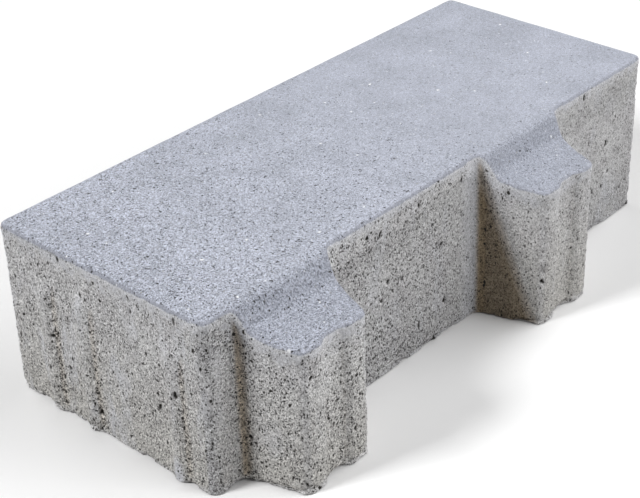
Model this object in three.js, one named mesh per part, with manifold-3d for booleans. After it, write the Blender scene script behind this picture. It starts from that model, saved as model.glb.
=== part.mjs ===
// Concrete paving stone for wide, planted joints: one pressed block with two spacer nubs on a long
// side and shallow vertical nibs on the ends.
//
// Millimetres, +Z up. The stone lies on its bed face at z = 0, its length along X and its nubs
// towards -Y. The origin is on the bed face, at the middle of the stone's whole outline.

import * as THREE from "three";
import { mergeVertices } from "three/addons/utils/BufferGeometryUtils.js";
import Module from "manifold-3d";

// The block.
const LENGTH = 290;
const WIDTH = 114;
const THICKNESS = 80;
const CORNER_RADIUS = 3;

// The near end of the nub side, which stands a little proud of the wall between the nubs.
const PAD_LENGTH = 15;
const PAD_RISE = 2.2;
const PAD_CORNER_RADIUS = 5;

// The small rounded lip all round the wearing face.
const LIP_WIDTH = 2.2;
const LIP_DROP = 1.4;
const LIP_STEPS = 3;

// The two spacer nubs: a trapezium in plan, hollowed on top and grooved down the middle.
const NUB_COUNT = 2;
const NUB_FIRST = 41.5; // from the near end to the middle of the first nub
const NUB_PITCH = 149.5;
const NUB_REACH = 29;
const NUB_ROOT_WIDTH = 53;
const NUB_CREST_WIDTH = 36;
const NUB_CREST_RADIUS = 4;
const NUB_ROOT_RADIUS = 4;

// The groove down the outer face of a nub, which leaves two ridges that touch the next stone.
const GROOVE_MOUTH = 16;
const GROOVE_FLOOR = 8;
const GROOVE_DEPTH = 2.2;
const GROOVE_RADIUS = 2;

// The hollow on top of a nub: over a round shoulder, down a steep wall and a slope, and out along
// a shelf that is nearly level.
const HOLLOW_DEPTH = 13.2;
const SHOULDER_RADIUS = 3.9;
const WALL_ANGLE = THREE.MathUtils.degToRad(61);
const HOLLOW_RADIUS = 5.3;
const SLOPE_ANGLE = THREE.MathUtils.degToRad(14.7);
const SHELF_START = 16.4; // out from the long side
const SHELF_RADIUS = 32;
const SHELF_ANGLE = THREE.MathUtils.degToRad(4.4);

// The nibs on the two ends. Those on the far end are the near ones turned half a turn, so the nibs
// of two stones laid end to end pass beside each other.
const NIB_PLACES = [16, 66.5, 89]; // from the nub side
const NIB_WIDTH = 11;
const NIB_NOSE = 2.4;
const NIB_RISE = 2.1;
const NIB_RADIUS = 1.6;
const NIB_BELOW_TOP = 15;
const NIB_FADE = 9;

const ARC_STEPS = 6;
const BITE = 6; // how far a nub or a nib reaches into the block that carries it

const wasm = await Module();
wasm.setup();

// A closed geometry as a solid that can be joined and cut.
function solidFrom(geometry) {
  geometry.deleteAttribute("normal");
  geometry.deleteAttribute("uv");
  const merged = mergeVertices(geometry, 1e-4);
  return new wasm.Manifold(
    new wasm.Mesh({
      numProp: 3,
      vertProperties: merged.attributes.position.array,
      triVerts: new Uint32Array(merged.index.array),
    }),
  );
}

// A solid back as a geometry that three.js can draw.
function geometryFrom(solid) {
  const mesh = solid.getMesh();
  const geometry = new THREE.BufferGeometry();
  geometry.setAttribute("position", new THREE.BufferAttribute(mesh.vertProperties, 3));
  geometry.setIndex(new THREE.BufferAttribute(mesh.triVerts, 1));
  geometry.computeVertexNormals();
  return geometry;
}

// A closed outline through corners given as [x, y, radius], each turned by an arc of its radius.
function roundedOutline(corners) {
  const shape = new THREE.Shape();
  corners.forEach(([x, y, radius = 0], i) => {
    const corner = new THREE.Vector2(x, y);
    const before = new THREE.Vector2(...corners.at(i - 1).slice(0, 2)).sub(corner).normalize();
    const after = new THREE.Vector2(...corners[(i + 1) % corners.length].slice(0, 2));
    after.sub(corner).normalize();
    const draw = i === 0 ? "moveTo" : "lineTo";
    if (radius === 0) {
      shape[draw](x, y);
      return;
    }
    const half = before.angleTo(after) / 2;
    const start = corner.clone().addScaledVector(before, radius / Math.tan(half));
    const middle = before.clone().add(after).normalize();
    const centre = corner.clone().addScaledVector(middle, radius / Math.sin(half));
    const turn = Math.PI - 2 * half;
    const clockwise = before.cross(after) > 0;
    const from = Math.atan2(start.y - centre.y, start.x - centre.x);
    shape[draw](start.x, start.y);
    shape.absarc(centre.x, centre.y, radius, from, from + (clockwise ? -turn : turn), clockwise);
  });
  shape.closePath();
  return shape;
}

// An outline in plan, raised from one height to another.
function raised(shape, bottom, top) {
  const geometry = new THREE.ExtrudeGeometry(shape, {
    depth: top - bottom,
    bevelEnabled: false,
    curveSegments: ARC_STEPS,
  });
  geometry.translate(0, 0, bottom);
  return solidFrom(geometry);
}

// An outline seen from the side, with its first axis running out from a wall and its second up,
// carried along the wall for a width. The wall faces -Y, and the middle of the width is at x = 0.
function carried(shape, width) {
  const geometry = new THREE.ExtrudeGeometry(shape, {
    depth: width,
    bevelEnabled: false,
    curveSegments: ARC_STEPS,
  });
  geometry.translate(0, 0, -width / 2);
  geometry.rotateX(Math.PI / 2);
  geometry.rotateZ(-Math.PI / 2);
  return solidFrom(geometry);
}

// The block with its pad, its plan corners rounded and the lip round its wearing face. The bevel
// is made at both ends of the extrusion, so the lower one is cut off at the bed face.
function block() {
  const inset = LIP_WIDTH;
  const outline = roundedOutline([
    [inset, inset - PAD_RISE, PAD_CORNER_RADIUS - inset],
    [PAD_LENGTH - inset, inset - PAD_RISE, CORNER_RADIUS - inset],
    [PAD_LENGTH - inset, inset],
    [LENGTH - inset, inset, CORNER_RADIUS - inset],
    [LENGTH - inset, WIDTH - inset, CORNER_RADIUS - inset],
    [inset, WIDTH - inset, CORNER_RADIUS - inset],
  ]);
  const geometry = new THREE.ExtrudeGeometry(outline, {
    depth: THICKNESS,
    bevelThickness: LIP_DROP,
    bevelSize: LIP_WIDTH,
    bevelSegments: LIP_STEPS,
    curveSegments: ARC_STEPS,
  });
  geometry.translate(0, 0, -LIP_DROP);
  const below = new THREE.BoxGeometry(2 * LENGTH, 2 * WIDTH, 2 * LIP_DROP);
  below.translate(LENGTH / 2, WIDTH / 2, -LIP_DROP);
  return solidFrom(geometry).subtract(solidFrom(below));
}

// A nub in plan: its middle at x = 0, the wall that carries it along y = 0. The wall on its near
// side may stand proud by a rise.
function nubPlan(rise) {
  const root = NUB_ROOT_WIDTH / 2;
  const crest = NUB_CREST_WIDTH / 2;
  const mouth = GROOVE_MOUTH / 2;
  const floor = GROOVE_FLOOR / 2;
  const sole = root + 2 * NUB_ROOT_RADIUS;
  const lean = (root - crest) / NUB_REACH;
  return roundedOutline([
    [-sole, BITE],
    [-sole, -rise],
    [lean * rise - root, -rise, NUB_ROOT_RADIUS],
    [-crest, -NUB_REACH, NUB_CREST_RADIUS],
    [-mouth, -NUB_REACH, GROOVE_RADIUS],
    [-floor, GROOVE_DEPTH - NUB_REACH, GROOVE_RADIUS],
    [floor, GROOVE_DEPTH - NUB_REACH, GROOVE_RADIUS],
    [mouth, -NUB_REACH, GROOVE_RADIUS],
    [crest, -NUB_REACH, NUB_CREST_RADIUS],
    [root, 0, NUB_ROOT_RADIUS],
    [sole, 0],
    [sole, BITE],
  ]);
}

// A nub from the side: the shoulder, wall, slope and shelf of the hollow on its top. The slope
// meets the line of the wall at its foot, and the wall's line starts a little way out from the
// long side, so that the shoulder's arc starts right above it.
function nubSide() {
  const wall = Math.tan(WALL_ANGLE);
  const slope = Math.tan(SLOPE_ANGLE);
  const shelf = Math.tan(SHELF_ANGLE);
  const tip = NUB_REACH + BITE;
  const shelfTop = THICKNESS - HOLLOW_DEPTH + shelf * (NUB_REACH - SHELF_START);
  const wallStart = SHOULDER_RADIUS * Math.tan(WALL_ANGLE / 2);
  const footRise = THICKNESS - shelfTop - slope * SHELF_START;
  const foot = (footRise + wall * wallStart) / (wall - slope);
  return roundedOutline([
    [-BITE, 0],
    [tip, 0],
    [tip, shelfTop - shelf * (tip - SHELF_START)],
    [SHELF_START, shelfTop, SHELF_RADIUS],
    [foot, THICKNESS - wall * (foot - wallStart), HOLLOW_RADIUS],
    [wallStart, THICKNESS, SHOULDER_RADIUS],
    [-BITE, THICKNESS],
  ]);
}

function nub(rise) {
  const plan = raised(nubPlan(rise), 0, THICKNESS);
  const side = carried(nubSide(), NUB_ROOT_WIDTH + 4 * NUB_ROOT_RADIUS);
  return plan.intersect(side);
}

// A nib, standing on a wall along y = 0 that faces -Y. Its top end fades into the wall.
function nib() {
  const half = NIB_WIDTH / 2;
  const nose = NIB_NOSE / 2;
  const plan = roundedOutline([
    [-half, BITE],
    [-half, 0],
    [-nose, -NIB_RISE, NIB_RADIUS],
    [nose, -NIB_RISE, NIB_RADIUS],
    [half, 0],
    [half, BITE],
  ]);
  const top = THICKNESS - NIB_BELOW_TOP;
  const side = roundedOutline([
    [-BITE, 0],
    [NIB_RISE, 0],
    [NIB_RISE, top - NIB_FADE],
    [0, top],
    [-BITE, top],
  ]);
  return raised(plan, 0, THICKNESS).intersect(carried(side, NIB_WIDTH));
}

function pavingStone() {
  let stone = block();
  for (let i = 0; i < NUB_COUNT; i++) {
    const rise = i === 0 ? PAD_RISE : 0;
    stone = stone.add(nub(rise).translate([NUB_FIRST + i * NUB_PITCH, 0, 0]));
  }
  for (const place of NIB_PLACES) {
    stone = stone.add(nib().rotate([0, 0, -90]).translate([0, place, 0]));
    stone = stone.add(nib().rotate([0, 0, 90]).translate([LENGTH, WIDTH - place, 0]));
  }
  return stone;
}

const concrete = new THREE.MeshStandardMaterial({
  color: "#a5a4a2",
  roughness: 0.95,
  metalness: 0,
});

const stone = new THREE.Mesh(geometryFrom(pavingStone()), concrete);
stone.name = "paving_stone";
stone.position.set(-LENGTH / 2, (NUB_REACH - WIDTH) / 2, 0);

const pavingStoneGroup = new THREE.Group();
pavingStoneGroup.add(stone);

export default pavingStoneGroup;
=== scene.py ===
"""The finish of a pressed concrete paving stone, modelled and textured around its solid."""

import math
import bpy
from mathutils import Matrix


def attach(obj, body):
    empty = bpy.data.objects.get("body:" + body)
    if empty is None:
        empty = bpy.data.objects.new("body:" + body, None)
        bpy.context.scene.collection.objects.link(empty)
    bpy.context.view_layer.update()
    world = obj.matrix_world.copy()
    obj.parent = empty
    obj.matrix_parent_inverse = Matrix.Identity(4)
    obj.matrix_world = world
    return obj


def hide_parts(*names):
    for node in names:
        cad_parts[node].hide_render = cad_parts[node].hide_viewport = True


bl_info = {
    "name": "Concrete Paving Stone",
    "version": (1, 0, 0),
    "blender": (4, 5, 0),
    "location": "View3D > Sidebar > Paving Stone",
    "description": "Casts a paving stone with spacer nubs in open-pored concrete, on a floor",
    "category": "Add Mesh",
}

from types import SimpleNamespace

import bpy
from mathutils import Vector

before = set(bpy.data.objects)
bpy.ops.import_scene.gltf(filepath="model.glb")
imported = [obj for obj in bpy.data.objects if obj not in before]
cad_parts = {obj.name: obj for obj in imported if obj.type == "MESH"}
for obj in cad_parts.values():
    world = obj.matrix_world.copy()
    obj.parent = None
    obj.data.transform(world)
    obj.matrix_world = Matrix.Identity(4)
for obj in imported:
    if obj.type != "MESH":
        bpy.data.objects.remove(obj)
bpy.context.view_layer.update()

SOLID = "paving_stone"
MM = 0.001

# Places in mm: along the stone from its middle, out from its middle towards the side without
# nubs, and up from its bed.
NEAR_END = -145
NUB_WALL = -42.5
TOP = 80
PALE_STREAK = (NEAR_END, -26.2, 1.5)  # with its height squeezed by STREAK_SQUEEZE
DARK_PATCH = (-135, -44, 69)
COARSE_TO_FINE = (-115, 35)  # where along the stone the grain turns fine and even

# Spacing in mm of what shows in the concrete. Sand, gaps and specks are coarser than real ones,
# which would be too fine to show.
SAND = 0.4
GAP = 0.7
SPECK = 0.9
PIT = 2.4
PORE = 6
PATCH = 6
SMEAR = 10
MOTTLE = 16
CLOUD = 22

# How much of its height a pattern keeps before it is drawn up along the wall of the mould: the
# less it keeps, the taller the marks.
GRAIN_SQUEEZE = 0.75
PORE_SQUEEZE = 0.6
STREAK_SQUEEZE = 0.35

# Smoothing passes that even out a ridge, and that even out the facets of the mesh.
RIDGE_PASSES = 45
FACET_PASSES = 2


def linear(hex_colour):
    """An sRGB hex colour as linear red, green and blue, and a full alpha."""
    channels = [int(hex_colour[i : i + 2], 16) / 255 for i in (1, 3, 5)]
    return [c / 12.92 if c <= 0.04045 else ((c + 0.055) / 1.055) ** 2.4 for c in channels] + [1]


def colour_property(name, description, default):
    return bpy.props.FloatVectorProperty(
        name=name,
        description=description,
        default=linear(default),
        subtype="COLOR",
        size=4,
        min=0,
        max=1,
    )


def length_property(name, description, millimetres):
    return bpy.props.FloatProperty(
        name=name,
        description=description,
        default=millimetres * MM,
        min=0,
        subtype="DISTANCE",
        unit="LENGTH",
        precision=5,
    )


def place_property(name, description, default):
    return bpy.props.FloatVectorProperty(
        name=name,
        description=description,
        default=default,
        subtype="TRANSLATION",
        unit="LENGTH",
    )


class StoneShapeSettings(bpy.types.PropertyGroup):
    """How the pressed surface departs from the smooth solid."""

    grid: length_property("Grid", "Spacing of the mesh before it is thinned", 0.6)
    triangles: bpy.props.IntProperty(
        name="Triangles", description="Most triangles left in the stone", default=190000, min=1000
    )
    rounding: bpy.props.IntProperty(
        name="Rounding", description="Smoothing passes over the edges of the hollows", default=16
    )
    sway: length_property("Sway", "Depth of the broad unevenness of the sides", 0.45)
    grit: length_property("Grit", "Depth of the coarse grain of the sides", 0.4)
    swell: length_property("Swell", "Depth of the shallow unevenness of the top", 0.12)
    pore: length_property("Pore", "Depth of the open pores of the sides", 0.9)
    bite: length_property("Bite", "Depth of the pieces broken from crests and corners", 0.9)
    chip: length_property("Chip", "Depth of the chips along the bottom edge", 2.2)


class ConcreteSettings(bpy.types.PropertyGroup):
    """Colours of the two concrete mixes and of what shows in them."""

    facing: colour_property("Facing", "Blue-grey facing mix on top", "#bcc0cd")
    facing_dark: colour_property("Facing Dark", "Darker patches of the facing", "#b1b5c1")
    lip: colour_property("Lip", "Smooth facing pressed into the rounded lip", "#b0b3bf")
    hollow: colour_property("Hollow", "Facing in the hollows of the nubs", "#a8acb8")
    core: colour_property("Core", "Grey core mix on the sides", "#dcdcdd")
    core_dark: colour_property("Core Dark", "Denser, cooler patches of the sides", "#d2d1d3")
    # Darker, warmer core towards the bottom, partly painted shade
    low_tone_and_shade: colour_property("Damp", "Core towards the bottom, which dries last", "#d2d0cc")
    paste: colour_property("Paste", "Cement skin under the top edge and on crests", "#dedfe4")
    # Brown of stains and of painted shade in inner corners and on the far nub's shaded flank
    stain_and_shade: colour_property("Stain", "Brown stain in inner corners", "#c4af90")
    pit: colour_property("Pit", "Inside of an open pore", "#3b3936")
    quartz: colour_property("Quartz", "White quartz grains", "#f6f7fa")


class StudioSettings(bpy.types.PropertyGroup):
    """The floor, the lights and the camera."""

    floor: colour_property("Floor", "Pale floor as it is seen", "#ffffff")
    bounce: colour_property("Bounce", "Floor as it lights the stone", "#888684")
    floor_size: length_property("Floor Size", "Width of the floor", 12000)
    world: bpy.props.FloatProperty(
        name="World", description="Level of the even light", default=0.08
    )
    key: bpy.props.FloatProperty(
        name="Key", description="Power of the lamp off the left end", default=70.7, unit="POWER"
    )
    key_from: place_property("Key From", "Place of the key lamp", (-2.192, 0.83, 2.178))
    key_size: length_property("Key Size", "Width of the key lamp", 760)
    fill: bpy.props.FloatProperty(
        name="Fill", description="Power of the lamp off the far end", default=27.5, unit="POWER"
    )
    fill_from: place_property("Fill From", "Place of the fill lamp", (1.367, -0.82, 1.367))
    fill_size: length_property("Fill Size", "Width of the fill lamp", 2000)
    front: bpy.props.FloatProperty(
        name="Front", description="Power of the lamp before the nubs", default=16.8, unit="POWER"
    )
    front_from: place_property("Front From", "Place of the front lamp", (0.44, -1.76, 1.056))
    front_size: length_property("Front Size", "Width of the front lamp", 1000)
    back: bpy.props.FloatProperty(
        name="Back",
        description="Power of the lamp behind the plain side",
        default=12.5,
        unit="POWER",
    )
    back_from: place_property("Back From", "Place of the back lamp", (0.34, 2.0, 0.5))
    back_size: length_property("Back Size", "Width of the back lamp", 1000)
    camera_from: place_property("Camera From", "Place of the camera", (-0.45713, -0.39805, 0.39400))
    camera_turn: bpy.props.FloatVectorProperty(
        name="Camera Turn",
        description="Turns of the camera about X, Y and Z",
        default=[math.radians(turn) for turn in (58.774, 1.908, -47.872)],
        subtype="EULER",
        unit="ROTATION",
    )
    focal_length: bpy.props.FloatProperty(
        name="Focal Length",
        description="Lens of the camera, for a 36 mm wide picture",
        default=89.84,
        unit="CAMERA",
    )


def deselect_all():
    bpy.ops.object.select_all(action="DESELECT")


def make_active(piece):
    deselect_all()
    piece.select_set(True)
    bpy.context.view_layer.objects.active = piece


def apply_modifier(piece, name, kind, **settings):
    """Adds a modifier and applies it at once."""
    modifier = piece.modifiers.new(name, kind)
    for key, value in settings.items():
        setattr(modifier, key, value)
    make_active(piece)
    bpy.ops.object.modifier_apply(modifier=modifier.name)


def add_node(tree, kind, *values, named=None, **settings):
    """Adds a node with its settings, and sets or links its visible inputs, in order or by name."""
    node = tree.nodes.new(kind)
    for name, value in settings.items():
        setattr(node, name, value)
    visible = [socket for socket in node.inputs if socket.enabled]
    wanted = [*zip(visible, values)]
    wanted += [(node.inputs[name], value) for name, value in (named or {}).items()]
    for socket, value in wanted:
        if isinstance(value, bpy.types.Node):
            value = next(output for output in value.outputs if output.enabled)
        if isinstance(value, bpy.types.NodeSocket):
            tree.links.new(value, socket)
        else:
            socket.default_value = value
    return node


def cells(tree, place, spacing, wander):
    """Uneven cells of a spacing: how far their middles are, in mm, and three chances for each."""
    bend = add_node(tree, "ShaderNodeTexNoise", place, 0.5 / wander, 0)
    bent = add_node(
        tree,
        "ShaderNodeVectorMath",
        bend.outputs["Color"],
        (2 * wander,) * 3,
        place,
        operation="MULTIPLY_ADD",
    )
    grid = add_node(tree, "ShaderNodeTexVoronoi", bent, 1 / spacing)
    far = add_node(tree, "ShaderNodeMath", grid, spacing, operation="MULTIPLY")
    chances = add_node(tree, "ShaderNodeSeparateXYZ", grid.outputs["Color"])
    return far, chances.outputs


def bowls(tree, spots, smallest, largest, share, pick="Y"):
    """A mask of round pits in a share of the cells, with radii between two lengths in mm."""
    far, chances = spots
    radius = add_node(tree, "ShaderNodeMapRange", chances["X"], 0, 1, smallest, largest)
    inside = add_node(tree, "ShaderNodeMath", far, radius, operation="DIVIDE")
    bowl = add_node(
        tree, "ShaderNodeMapRange", inside, 1, 0.55, 0, 1, interpolation_type="SMOOTHSTEP"
    )
    present = add_node(tree, "ShaderNodeMath", chances[pick], share, operation="LESS_THAN")
    return add_node(tree, "ShaderNodeMath", bowl, present, operation="MULTIPLY")


def open_pores(tree, mm):
    """The few big pores of the core, drawn upwards, the same in the relief and in the colour."""
    drawn = add_node(
        tree, "ShaderNodeVectorMath", mm, (1, 1, PORE_SQUEEZE), operation="MULTIPLY"
    )
    return bowls(tree, cells(tree, drawn, PORE, 1), 0.6, 1.3, 0.4)


def ease_edges(tree, geometry, position, passes):
    """Smooths the edges of the hollows the most, and the others a quarter as much."""
    axes = add_node(tree, "ShaderNodeSeparateXYZ", position)
    high = add_node(tree, "ShaderNodeMapRange", axes.outputs["Z"], 54 * MM, 60 * MM, 0.25, 1)
    soft = add_node(tree, "ShaderNodeMapRange", axes.outputs["Y"], -42 * MM, -44 * MM, 0.25, high)
    eased = add_node(
        tree, "GeometryNodeBlurAttribute", position, passes, soft, data_type="FLOAT_VECTOR"
    )
    return add_node(tree, "GeometryNodeSetPosition", geometry, True, eased)


def store_facts(tree, geometry, position, normal):
    """Stores at each point what the relief and the shader ask of it.

    "cast" is its place in mm. "ridge" is how far it stands out of its surroundings, in mm. "lee"
    is one on the lee side of a ridge, where cement ran short, and there the shader darkens
    creases with painted shade. "within" is how far inside the facing it is, in mm, less than
    zero on the sides.
    """
    cast = add_node(
        tree, "ShaderNodeVectorMath", position, named={"Scale": 1 / MM}, operation="SCALE"
    )
    around = add_node(
        tree, "GeometryNodeBlurAttribute", position, RIDGE_PASSES, data_type="FLOAT_VECTOR"
    )
    offset = add_node(tree, "ShaderNodeVectorMath", position, around, operation="SUBTRACT")
    offset = add_node(
        tree, "ShaderNodeVectorMath", offset, named={"Scale": 1 / MM}, operation="SCALE"
    )
    ridge = add_node(tree, "ShaderNodeVectorMath", offset, normal, operation="DOT_PRODUCT")
    even = add_node(
        tree, "GeometryNodeBlurAttribute", normal, FACET_PASSES, data_type="FLOAT_VECTOR"
    )
    even = add_node(tree, "ShaderNodeSeparateXYZ", even)
    lee = add_node(tree, "ShaderNodeMapRange", even.outputs["Y"], -0.95, -0.75)
    lee = add_node(tree, "ShaderNodeMapRange", even.outputs["Y"], 0.1, -0.35, 0, lee)
    turned = add_node(tree, "ShaderNodeMapRange", even.outputs["X"], 0.1, 0.5, 1, 0.25)
    lee = add_node(tree, "ShaderNodeMath", lee, turned, operation="MULTIPLY")
    crown = add_node(tree, "ShaderNodeMath", even.outputs["Z"], 0.3, operation="GREATER_THAN")
    parts = add_node(tree, "GeometryNodeSeparateGeometry", geometry, crown, domain="FACE")
    above = add_node(
        tree, "GeometryNodeProximity", parts.outputs["Selection"], target_element="FACES"
    )
    beside = add_node(
        tree, "GeometryNodeProximity", parts.outputs["Inverted"], target_element="FACES"
    )
    within = add_node(
        tree,
        "ShaderNodeMath",
        beside.outputs["Distance"],
        above.outputs["Distance"],
        operation="SUBTRACT",
    )
    within = add_node(tree, "ShaderNodeMath", within, 1 / MM, operation="MULTIPLY")
    at = SimpleNamespace()
    for name, kind, value in (
        ("cast", "FLOAT_VECTOR", cast),
        ("ridge", "FLOAT", ridge.outputs["Value"]),
        ("lee", "FLOAT", lee),
        ("within", "FLOAT", within),
    ):
        geometry = add_node(
            tree,
            "GeometryNodeStoreNamedAttribute",
            geometry,
            True,
            name,
            value,
            data_type=kind,
            domain="POINT",
        )
        stored = add_node(tree, "GeometryNodeInputNamedAttribute", name, data_type=kind)
        setattr(at, name, stored)
    return geometry, at


def inward_relief(tree, at, shape):
    """Relief along the normal, in mm, all of it below zero. The bed stays flat."""
    rise = add_node(tree, "ShaderNodeSeparateXYZ", at.cast).outputs["Z"]
    bed = add_node(tree, "ShaderNodeMapRange", rise, 0.3, 1.5)
    side = add_node(
        tree, "ShaderNodeMapRange", at.within, -1, -7, 0, bed, interpolation_type="SMOOTHSTEP"
    )
    crease = add_node(tree, "ShaderNodeMapRange", at.ridge, -0.05, -0.3, 0, at.lee)
    rough = add_node(tree, "ShaderNodeMath", side, crease, side, operation="MULTIPLY_ADD")
    crest = add_node(tree, "ShaderNodeMapRange", at.ridge, 0.12, 0.5)
    broken = add_node(tree, "ShaderNodeMath", side, crest, operation="MULTIPLY")
    low = add_node(
        tree, "ShaderNodeMapRange", rise, 6, 0, 0, crest, interpolation_type="SMOOTHSTEP"
    )

    # Broad unevenness of the sides and the top, coarse grain, pieces lost from crests, and chips
    # where the pallet let go of the edge: each with its place, its size in mm, its detail, the
    # levels of noise between which it deepens, and its depth. Then the big pores.
    total = 0
    for where, size, detail, least, most, depth in (
        (side, 28, 2, 0.3, 0.7, shape.sway),
        (bed, 16, 1, 0.3, 0.7, shape.swell),
        (rough, 2.4, 2, 0.45, 0.75, shape.grit),
        (broken, 5, 3, 0.5, 0.72, shape.bite),
        (low, 12, 5, 0.47, 0.75, shape.chip),
    ):
        noise = add_node(tree, "ShaderNodeTexNoise", at.cast, 1 / size, detail, 0.6)
        sunk = add_node(tree, "ShaderNodeMapRange", noise, least, most, 0, -depth / MM)
        total = add_node(tree, "ShaderNodeMath", sunk, where, total, operation="MULTIPLY_ADD")
    pores = open_pores(tree, at.cast)
    sunk = add_node(tree, "ShaderNodeMath", pores, -shape.pore / MM, operation="MULTIPLY")
    return add_node(tree, "ShaderNodeMath", sunk, side, total, operation="MULTIPLY_ADD")


def surface_tree(shape):
    """A geometry node tree that rounds, roughens, chips and pits the stone.

    All relief goes inwards from the solid, as sand and air do against the wall of a mould.
    """
    tree = bpy.data.node_groups.new("pressed_surface", "GeometryNodeTree")
    tree.interface.new_socket("Geometry", in_out="INPUT", socket_type="NodeSocketGeometry")
    tree.interface.new_socket("Geometry", in_out="OUTPUT", socket_type="NodeSocketGeometry")
    geometry = add_node(tree, "NodeGroupInput")
    position = add_node(tree, "GeometryNodeInputPosition")
    normal = add_node(tree, "GeometryNodeInputNormal")
    geometry = ease_edges(tree, geometry, position, shape.rounding)
    geometry, at = store_facts(tree, geometry, position, normal)
    relief = inward_relief(tree, at, shape)
    relief = add_node(tree, "ShaderNodeMath", relief, MM, operation="MULTIPLY")
    push = add_node(
        tree, "ShaderNodeVectorMath", normal, named={"Scale": relief}, operation="SCALE"
    )
    geometry = add_node(tree, "GeometryNodeSetPosition", geometry, named={"Offset": push})
    add_node(tree, "NodeGroupOutput", geometry)
    return tree


def read_facts(tree):
    """What the surface tree stored, for the shader, with the three axes of the place."""
    at = SimpleNamespace()
    at.mm = add_node(tree, "ShaderNodeAttribute", attribute_name="cast").outputs["Vector"]
    at.ridge = add_node(tree, "ShaderNodeAttribute", attribute_name="ridge").outputs["Fac"]
    at.lee = add_node(tree, "ShaderNodeAttribute", attribute_name="lee").outputs["Fac"]
    at.within = add_node(tree, "ShaderNodeAttribute", attribute_name="within").outputs["Fac"]
    axes = add_node(tree, "ShaderNodeSeparateXYZ", at.mm)
    at.along = axes.outputs["X"]
    at.out = axes.outputs["Y"]
    at.rise = axes.outputs["Z"]
    return at


def make_grain(tree, mm):
    """Sand, the gaps in it, specks and pits, drawn up along the mould wall, and the big pores."""
    grain = SimpleNamespace()
    tall = add_node(
        tree, "ShaderNodeVectorMath", mm, (1, 1, GRAIN_SQUEEZE), operation="MULTIPLY"
    )
    sand_chances = cells(tree, tall, SAND, 0.3)[1]
    grain.sand = add_node(tree, "ShaderNodeMath", sand_chances["X"], 0.5, operation="SUBTRACT")
    grain.gaps = add_node(tree, "ShaderNodeTexNoise", tall, 1 / GAP, 1, 0.6)
    grain.specks = cells(tree, tall, SPECK, 0.35)
    grain.pits = cells(tree, tall, PIT, 0.6)
    grain.pores = open_pores(tree, mm)
    return grain


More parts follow.
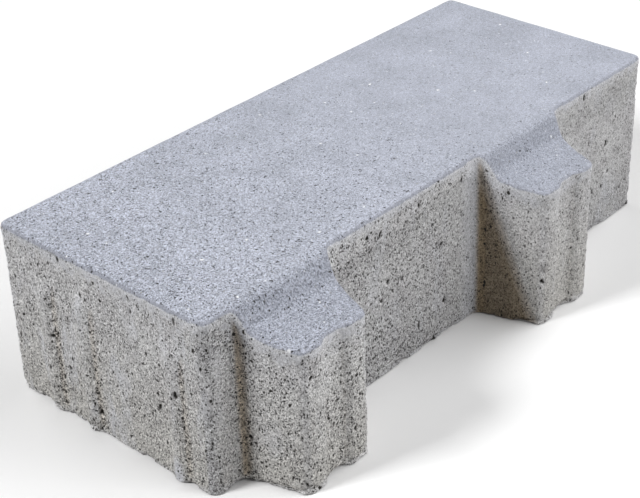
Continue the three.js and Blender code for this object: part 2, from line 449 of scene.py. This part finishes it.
def find_marks(tree, at):
    """Where the concrete changes over the stone, mostly as masks from zero to one."""
    marks = SimpleNamespace()

    # Coarse, dark grain at the end that the mould fills first, kept better on the nubs
    marks.nub = add_node(tree, "ShaderNodeMapRange", at.out, -41.5, -44)
    least = add_node(tree, "ShaderNodeMapRange", marks.nub, 0, 1, 0.45, 0.65)
    marks.coarse = add_node(tree, "ShaderNodeMapRange", at.along, *COARSE_TO_FINE, 1.1, least)
    least = add_node(tree, "ShaderNodeMapRange", marks.nub, 0, 1, 0.5, 0.75)
    marks.dark = add_node(tree, "ShaderNodeMapRange", at.along, -60, 60, 1, least)

    # Mottled areas, the foot of the stone, and creases
    mottle = add_node(tree, "ShaderNodeTexNoise", at.mm, 1 / MOTTLE, 3, 0.6)
    marks.mottle = add_node(tree, "ShaderNodeMapRange", mottle, 0.38, 0.62)
    marks.foot = add_node(tree, "ShaderNodeMapRange", at.rise, 60, 0)
    marks.crease = add_node(tree, "ShaderNodeMapRange", at.ridge, -0.04, -0.22, 0, at.lee)

    # The wall between and beside the nubs: painted shade at its foot, which lacks the warmer tone
    # of the other feet, painted shade on the stretch between the nubs, and a darker band under a
    # pale top, which starts higher towards the far end
    wall = add_node(tree, "ShaderNodeMapRange", at.out, -40.5, -41.5)
    wall = add_node(tree, "ShaderNodeMapRange", at.out, -46, -43, 0, wall)
    # Painted shade at the foot of the wall
    marks.shade = add_node(tree, "ShaderNodeMapRange", at.rise, 38, 10, 0, wall)
    # The darker, warmer tone towards the foot, partly painted shade, left off the wall
    marks.wet = add_node(tree, "ShaderNodeMapRange", wall, 0, 1, marks.foot, 0)
    lift = add_node(tree, "ShaderNodeMapRange", at.along, -40, 0, 5, 0)
    lifted = add_node(tree, "ShaderNodeMath", at.rise, lift, operation="ADD")
    under_top = add_node(tree, "ShaderNodeMapRange", lifted, 74, 70, 0, wall)
    # Painted shade on the stretch of wall between the nubs
    marks.between = add_node(tree, "ShaderNodeMapRange", at.along, 40, 30, 0, under_top)
    lowest = add_node(tree, "ShaderNodeMapRange", at.along, 20, 60, 46, 57)
    marks.band = add_node(tree, "ShaderNodeMapRange", at.rise, lowest, 63, 0, under_top)

    # A smooth skin of cement: ragged under the top edge, thin on crests and in smears, and full in
    # a pale streak. The strip of wall before the far nub takes it too, and is lightened with
    # painted light where the nub shades it
    patch = add_node(tree, "ShaderNodeTexNoise", at.mm, 1 / PATCH, 2, 0.6)
    marks.patch = add_node(tree, "ShaderNodeMapRange", patch, 0.3, 0.7, -0.7, 0.7)
    reach = add_node(tree, "ShaderNodeMapRange", wall, 0, 1, -11.5, -7)
    under = add_node(tree, "ShaderNodeMapRange", at.within, reach, -0.5, -0.7, 1.1)
    crest = add_node(tree, "ShaderNodeMapRange", at.ridge, 0.2, 0.5, 0, 0.4)
    drawn = add_node(
        tree, "ShaderNodeVectorMath", at.mm, (1, 1, STREAK_SQUEEZE), operation="MULTIPLY"
    )
    smear = add_node(tree, "ShaderNodeTexNoise", drawn, 1 / SMEAR, 2, 0.6)
    thickest = add_node(tree, "ShaderNodeMapRange", marks.nub, 0, 1, 0.8, 0.35)
    smear = add_node(tree, "ShaderNodeMapRange", smear, 0.53, 0.7, 0, thickest)
    streak = add_node(tree, "ShaderNodeVectorMath", drawn, PALE_STREAK, operation="DISTANCE")
    streak = add_node(tree, "ShaderNodeMapRange", streak.outputs["Value"], 4, 2.5)
    # Painted light on the strip of wall before the far nub
    strip = add_node(tree, "ShaderNodeMapRange", at.along, 7, 14, 0, wall)
    marks.strip = add_node(tree, "ShaderNodeMapRange", at.along, 25, 22, 0, strip)
    skin = add_node(tree, "ShaderNodeMath", under, marks.patch, operation="ADD")
    skin = add_node(tree, "ShaderNodeMath", skin, crest, operation="MAXIMUM")
    skin = add_node(tree, "ShaderNodeMath", skin, smear, operation="MAXIMUM", use_clamp=True)
    skin = add_node(tree, "ShaderNodeMath", skin, streak, operation="MAXIMUM")
    marks.skin = add_node(tree, "ShaderNodeMath", skin, marks.strip, operation="MAXIMUM")

    # The ragged border of the facing, open, dark concrete in a patch by the first corner, and a
    # ragged line of painted shadow under the lip of the near end
    marks.border = add_node(
        tree, "ShaderNodeMath", marks.patch, 0.4, at.within, operation="MULTIPLY_ADD"
    )
    blot = add_node(tree, "ShaderNodeVectorMath", at.mm, DARK_PATCH, operation="DISTANCE")
    blot = add_node(tree, "ShaderNodeMapRange", blot.outputs["Value"], 12, 5)
    lip_shadow = add_node(tree, "ShaderNodeMapRange", at.along, NEAR_END + 5, NEAR_END + 1)
    lip_shadow = add_node(tree, "ShaderNodeMapRange", at.out, 5, 35, 0, lip_shadow)
    lip_shadow = add_node(tree, "ShaderNodeMapRange", marks.border, -1.4, -0.7, 0, lip_shadow)
    # Both the dark patch and the painted shadow under the lip
    marks.open = add_node(tree, "ShaderNodeMath", blot, lip_shadow, operation="MAXIMUM")

    # Painted shadow, darker and browner, on the far nub's near flank, below the slanting line along
    # which the wall's top edge shades it, so that it reaches further out towards the foot
    edge = add_node(tree, "ShaderNodeMapRange", at.rise, TOP, 0, NUB_WALL, -70)
    low_tone_and_shade = add_node(tree, "ShaderNodeMath", at.out, edge, operation="SUBTRACT")
    low_tone_and_shade = add_node(tree, "ShaderNodeMapRange", low_tone_and_shade, -1, 5, 0, marks.nub)
    flank = add_node(tree, "ShaderNodeMapRange", at.along, 10, 16, 0, 0.95)
    flank = add_node(tree, "ShaderNodeMapRange", at.along, 34, 30, 0, flank)
    marks.low_tone_and_shade = add_node(tree, "ShaderNodeMath", low_tone_and_shade, flank, operation="MULTIPLY")
    return marks


def core_mix(tree, concrete, at, grain, marks):
    """The open grey concrete of the sides: its colour, and a mask of all that is sunk in it."""
    core = add_node(
        tree, "ShaderNodeMix", marks.mottle, concrete.core_dark, concrete.core, data_type="RGBA"
    )
    # Darker and warmer towards the foot, partly painted shade
    core = add_node(tree, "ShaderNodeMix", marks.wet, core, concrete.low_tone_and_shade, data_type="RGBA")
    core = add_node(tree, "ShaderNodeMix", marks.skin, core, concrete.paste, data_type="RGBA")
    # Brown in creases on the lee side, partly stain and partly painted shade, and in the far nub's
    # painted shadow
    deepest = add_node(tree, "ShaderNodeMapRange", marks.nub, 0, 1, 0.45, 0.6)
    stain_and_shade = add_node(tree, "ShaderNodeMapRange", at.ridge, -0.06, -0.35, 0, deepest)
    stain_and_shade = add_node(tree, "ShaderNodeMath", stain_and_shade, marks.low_tone_and_shade, operation="MAXIMUM")
    stain_and_shade = add_node(tree, "ShaderNodeMath", stain_and_shade, at.lee, operation="MULTIPLY")
    core = add_node(tree, "ShaderNodeMix", stain_and_shade, core, concrete.stain_and_shade, data_type="RGBA")

    # How light it is: painted shade at the wall's foot, between the nubs, on the far nub's flank
    # and under the near lip, painted light on the strip before the far nub, a darker band and
    # corner patch, and the sand's own light and dark grains
    level = add_node(tree, "ShaderNodeMapRange", at.along, *COARSE_TO_FINE, 1.03, 0.962)
    for mark, change in (
        (marks.shade, -0.12),
        (marks.low_tone_and_shade, -0.3),
        (marks.strip, 0.11),
        (marks.band, -0.12),
        (marks.between, -0.07),
        (marks.open, -0.18),
    ):
        level = add_node(tree, "ShaderNodeMath", mark, change, level, operation="MULTIPLY_ADD")
    contrast = add_node(tree, "ShaderNodeMapRange", marks.skin, 0, 1, marks.coarse, 0.5)
    tone = add_node(
        tree, "ShaderNodeMath", grain.sand, contrast, level, operation="MULTIPLY_ADD"
    )
    core = add_node(tree, "ShaderNodeVectorMath", core, named={"Scale": tone}, operation="SCALE")

    # The share of specks and pits, and the gaps, which widen with it: more at the foot and in the
    # corner patch, more in the lee of creases, partly as painted shade, and more as painted shade
    # at the wall's foot and under the near lip
    most = add_node(tree, "ShaderNodeMapRange", at.along, *COARSE_TO_FINE, 0.46, 0.36)
    least = add_node(tree, "ShaderNodeMapRange", at.along, *COARSE_TO_FINE, 0.26, 0.16)
    share = add_node(tree, "ShaderNodeMapRange", marks.mottle, 0, 1, most, least)
    share = add_node(tree, "ShaderNodeMapRange", marks.skin, 0, 1, share, 0.06)
    crease_specks = add_node(tree, "ShaderNodeMapRange", marks.nub, 0, 1, 0.5, 0)
    for mark, change in (
        (marks.crease, crease_specks),
        (marks.foot, 0.1),
        (marks.shade, 0.08),
        (marks.open, 0.35),
    ):
        share = add_node(tree, "ShaderNodeMath", mark, change, share, operation="MULTIPLY_ADD")
    specks = bowls(tree, grain.specks, 0.2, 0.55, share)
    narrow = add_node(tree, "ShaderNodeMapRange", share, 0, 1, 0.28, 0.4)
    wide = add_node(tree, "ShaderNodeMath", narrow, 0.04, operation="ADD")
    gaps = add_node(tree, "ShaderNodeMapRange", grain.gaps, wide, narrow)
    specks = add_node(tree, "ShaderNodeMath", specks, gaps, operation="MAXIMUM")
    specks = add_node(tree, "ShaderNodeMath", specks, marks.dark, operation="MULTIPLY")
    share = add_node(tree, "ShaderNodeMath", share, 0.8, operation="MULTIPLY")
    sunk = bowls(tree, grain.pits, 0.3, 0.8, share)
    sunk = add_node(tree, "ShaderNodeMath", sunk, grain.pores, operation="MAXIMUM")
    sunk = add_node(tree, "ShaderNodeMath", sunk, specks, operation="MAXIMUM")
    core = add_node(tree, "ShaderNodeMix", sunk, core, concrete.pit, data_type="RGBA")
    return core, sunk


def facing_mix(tree, concrete, at, grain, marks):
    """The fine blue-grey facing: its colour, and a mask of all that is sunk in it.

    It is smoother in the lip, which the mould pressed harder, and darker in the hollows.
    """
    cloud = add_node(tree, "ShaderNodeTexNoise", at.mm, 1 / CLOUD, 3, 0.6)
    cloud = add_node(tree, "ShaderNodeMapRange", cloud, 0.35, 0.65)
    face = add_node(
        tree, "ShaderNodeMix", cloud, concrete.facing_dark, concrete.facing, data_type="RGBA"
    )
    hollow = add_node(tree, "ShaderNodeMapRange", at.out, -52, -66, 1, 0.6)
    hollow = add_node(tree, "ShaderNodeMapRange", at.out, NUB_WALL, -46, 0, hollow)
    face = add_node(tree, "ShaderNodeMix", hollow, face, concrete.hollow, data_type="RGBA")
    width = add_node(tree, "ShaderNodeMath", marks.patch, 0.5, 1.7, operation="MULTIPLY_ADD")
    strength = add_node(tree, "ShaderNodeMapRange", at.out, -44.8, -46, 1, 0.7)
    lip = add_node(tree, "ShaderNodeMapRange", at.within, width, 1, 0, strength)
    end = add_node(tree, "ShaderNodeMapRange", at.within, -0.2, 0.3)
    lip = add_node(tree, "ShaderNodeMath", lip, end, operation="MULTIPLY")
    face = add_node(tree, "ShaderNodeMix", lip, face, concrete.lip, data_type="RGBA")

    # How light it is, with the sand's own light and dark grains
    level = add_node(tree, "ShaderNodeMapRange", at.along, -143, -110, 0.945, 0.985)
    contrast = add_node(tree, "ShaderNodeMapRange", lip, 0.5, 1, marks.coarse, 0.45)
    tone = add_node(
        tree, "ShaderNodeMath", grain.sand, contrast, level, operation="MULTIPLY_ADD"
    )
    face = add_node(tree, "ShaderNodeVectorMath", face, named={"Scale": tone}, operation="SCALE")

    # Specks and pinholes, half as many in the hollows
    dense = add_node(tree, "ShaderNodeMapRange", hollow, 0, 1, 1, 0.5)
    dense = add_node(tree, "ShaderNodeMath", dense, marks.coarse, operation="MULTIPLY")
    share = add_node(tree, "ShaderNodeMapRange", lip, 0.5, 1, 0.32, 0.14)
    share = add_node(tree, "ShaderNodeMath", share, dense, operation="MULTIPLY")
    specks = bowls(tree, grain.specks, 0.2, 0.5, share)
    share = add_node(tree, "ShaderNodeMath", dense, 0.28, operation="MULTIPLY")
    pinholes = bowls(tree, grain.pits, 0.3, 0.65, share)
    sunk = add_node(tree, "ShaderNodeMath", specks, pinholes, operation="MAXIMUM")
    sunk = add_node(tree, "ShaderNodeMath", sunk, marks.dark, operation="MULTIPLY")
    face = add_node(tree, "ShaderNodeMix", sunk, face, concrete.pit, data_type="RGBA")

    # Small pale grains, and a few white ones of quartz
    glints = bowls(tree, grain.specks, 0.1, 0.4, 0.1, pick="Z")
    glints = add_node(tree, "ShaderNodeMath", glints, 0.5, operation="MULTIPLY")
    quartz = bowls(tree, grain.pits, 0.4, 1.2, 0.012, pick="Z")
    glints = add_node(tree, "ShaderNodeMath", glints, quartz, operation="MAXIMUM")
    face = add_node(tree, "ShaderNodeMix", glints, face, concrete.quartz, data_type="RGBA")
    return face, sunk


def concrete_material(concrete):
    """Vibro-pressed concrete in two mixes: a fine blue-grey facing over an open grey core.

    Both are matt and grainy. The core shows sand, pits and streaks from the mould, and the
    facing shows fine sand with a few quartz grains.
    """
    material = bpy.data.materials.new("vibro_pressed_concrete")
    material.use_nodes = True
    tree = material.node_tree
    tree.nodes.clear()
    at = read_facts(tree)
    grain = make_grain(tree, at.mm)
    marks = find_marks(tree, at)
    core, core_sunk = core_mix(tree, concrete, at, grain, marks)
    face, face_sunk = facing_mix(tree, concrete, at, grain, marks)
    top = add_node(tree, "ShaderNodeMapRange", marks.border, -0.45, 0.15)
    colour = add_node(tree, "ShaderNodeMix", top, core, face, data_type="RGBA")

    # Relief too fine for the mesh, in millimetres: the sand stands out and the rest is sunk
    depth = add_node(tree, "ShaderNodeMix", top, 0.25, 0.12)
    sunk = add_node(tree, "ShaderNodeMix", top, core_sunk, face_sunk)
    sunk = add_node(tree, "ShaderNodeMath", sunk, -0.25, operation="MULTIPLY")
    relief = add_node(tree, "ShaderNodeMath", grain.sand, depth, sunk, operation="MULTIPLY_ADD")
    bump = add_node(tree, "ShaderNodeBump", 1, MM, named={"Height": relief})
    shader = add_node(
        tree,
        "ShaderNodeBsdfPrincipled",
        named={
            "Base Color": colour,
            "Roughness": 0.92,
            "IOR": 1.5,
            "Specular IOR Level": 0.25,
            "Normal": bump,
        },
    )
    add_node(tree, "ShaderNodeOutputMaterial", shader)
    return material


class PAVER_OT_stone(bpy.types.Operator):
    """Cast the stone from its solid, with rounded, chipped and pitted concrete"""

    bl_idname = "paver.stone"
    bl_label = "Cast Stone"

    def execute(self, context):
        shape = context.scene.paver_shape
        make_active(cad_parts[SOLID])
        bpy.ops.object.duplicate()
        piece = context.active_object
        piece.name = "stone"
        for key in list(piece.keys()):
            del piece[key]
        piece.parent = None
        piece.data.materials.clear()
        bpy.ops.object.mode_set(mode="EDIT")
        bpy.ops.mesh.select_all(action="SELECT")
        bpy.ops.mesh.remove_doubles(threshold=0.01 * MM)
        bpy.ops.object.mode_set(mode="OBJECT")
        apply_modifier(piece, "Grid", "REMESH", mode="VOXEL", voxel_size=shape.grid)
        apply_modifier(piece, "Surface", "NODES", node_group=surface_tree(shape))
        ratio = min(1, shape.triangles / (2 * len(piece.data.polygons)))
        apply_modifier(piece, "Thin", "DECIMATE", ratio=ratio)
        make_active(piece)
        bpy.ops.object.shade_smooth()
        piece.data.materials.append(concrete_material(context.scene.paver_concrete))
        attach(piece, "root")
        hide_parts(SOLID)
        return {"FINISHED"}


def place_lamp(name, place, power, size):
    """A square lamp that faces the stone."""
    lamp = bpy.data.lights.new(name, "AREA")
    lamp.energy = power
    lamp.size = size
    holder = bpy.data.objects.new(name, lamp)
    bpy.context.scene.collection.objects.link(holder)
    holder.visible_camera = False
    holder.location = place
    holder.rotation_euler = (-Vector(place)).to_track_quat("-Z", "Y").to_euler()


class PAVER_OT_stage(bpy.types.Operator):
    """Set up the floor, the lights and the camera"""

    bl_idname = "paver.stage"
    bl_label = "Set Up Studio"

    def execute(self, context):
        studio = context.scene.paver_studio
        deselect_all()
        bpy.ops.mesh.primitive_plane_add(size=studio.floor_size)
        floor = context.active_object
        floor.name = "floor"
        material = bpy.data.materials.new("matt_paper_backdrop")
        material.use_nodes = True
        tree = material.node_tree
        tree.nodes.clear()
        path = add_node(tree, "ShaderNodeLightPath")
        seen = add_node(
            tree,
            "ShaderNodeMix",
            path.outputs["Is Camera Ray"],
            studio.bounce,
            studio.floor,
            data_type="RGBA",
        )
        shader = add_node(
            tree, "ShaderNodeBsdfPrincipled", named={"Base Color": seen, "Roughness": 0.9}
        )
        add_node(tree, "ShaderNodeOutputMaterial", shader)
        floor.data.materials.append(material)
        world = bpy.data.worlds.new("studio")
        world.use_nodes = True
        world.node_tree.nodes["Background"].inputs["Strength"].default_value = studio.world
        world.node_tree.nodes["Background"].inputs["Color"].default_value = (1, 1, 1, 1)
        context.scene.world = world
        place_lamp("key", studio.key_from, studio.key, studio.key_size)
        place_lamp("fill", studio.fill_from, studio.fill, studio.fill_size)
        place_lamp("front", studio.front_from, studio.front, studio.front_size)
        place_lamp("back", studio.back_from, studio.back, studio.back_size)
        camera = bpy.data.cameras.new("camera")
        camera.lens = studio.focal_length
        camera.sensor_width = 36
        camera.clip_start = 0.01
        holder = bpy.data.objects.new("camera", camera)
        context.scene.collection.objects.link(holder)
        holder.location = studio.camera_from
        holder.rotation_euler = studio.camera_turn
        context.scene.camera = holder
        context.scene.view_settings.view_transform = "Standard"
        return {"FINISHED"}


class PAVER_PT_panel(bpy.types.Panel):
    """Lists the steps that make the stone"""

    bl_idname = "PAVER_PT_panel"
    bl_label = "Paving Stone"
    bl_space_type = "VIEW_3D"
    bl_region_type = "UI"
    bl_category = "Paving Stone"

    def draw(self, context):
        for operator in OPERATORS:
            self.layout.operator(operator.bl_idname)


OPERATORS = (PAVER_OT_stone, PAVER_OT_stage)
CLASSES = (StoneShapeSettings, ConcreteSettings, StudioSettings, *OPERATORS, PAVER_PT_panel)


def register():
    for cls in CLASSES:
        bpy.utils.register_class(cls)
    bpy.types.Scene.paver_shape = bpy.props.PointerProperty(type=StoneShapeSettings)
    bpy.types.Scene.paver_concrete = bpy.props.PointerProperty(type=ConcreteSettings)
    bpy.types.Scene.paver_studio = bpy.props.PointerProperty(type=StudioSettings)


def unregister():
    del bpy.types.Scene.paver_studio
    del bpy.types.Scene.paver_concrete
    del bpy.types.Scene.paver_shape
    for cls in reversed(CLASSES):
        bpy.utils.unregister_class(cls)


def main():
    register()
    bpy.ops.paver.stone()
    bpy.ops.paver.stage()


if __name__ == "__main__":
    main()
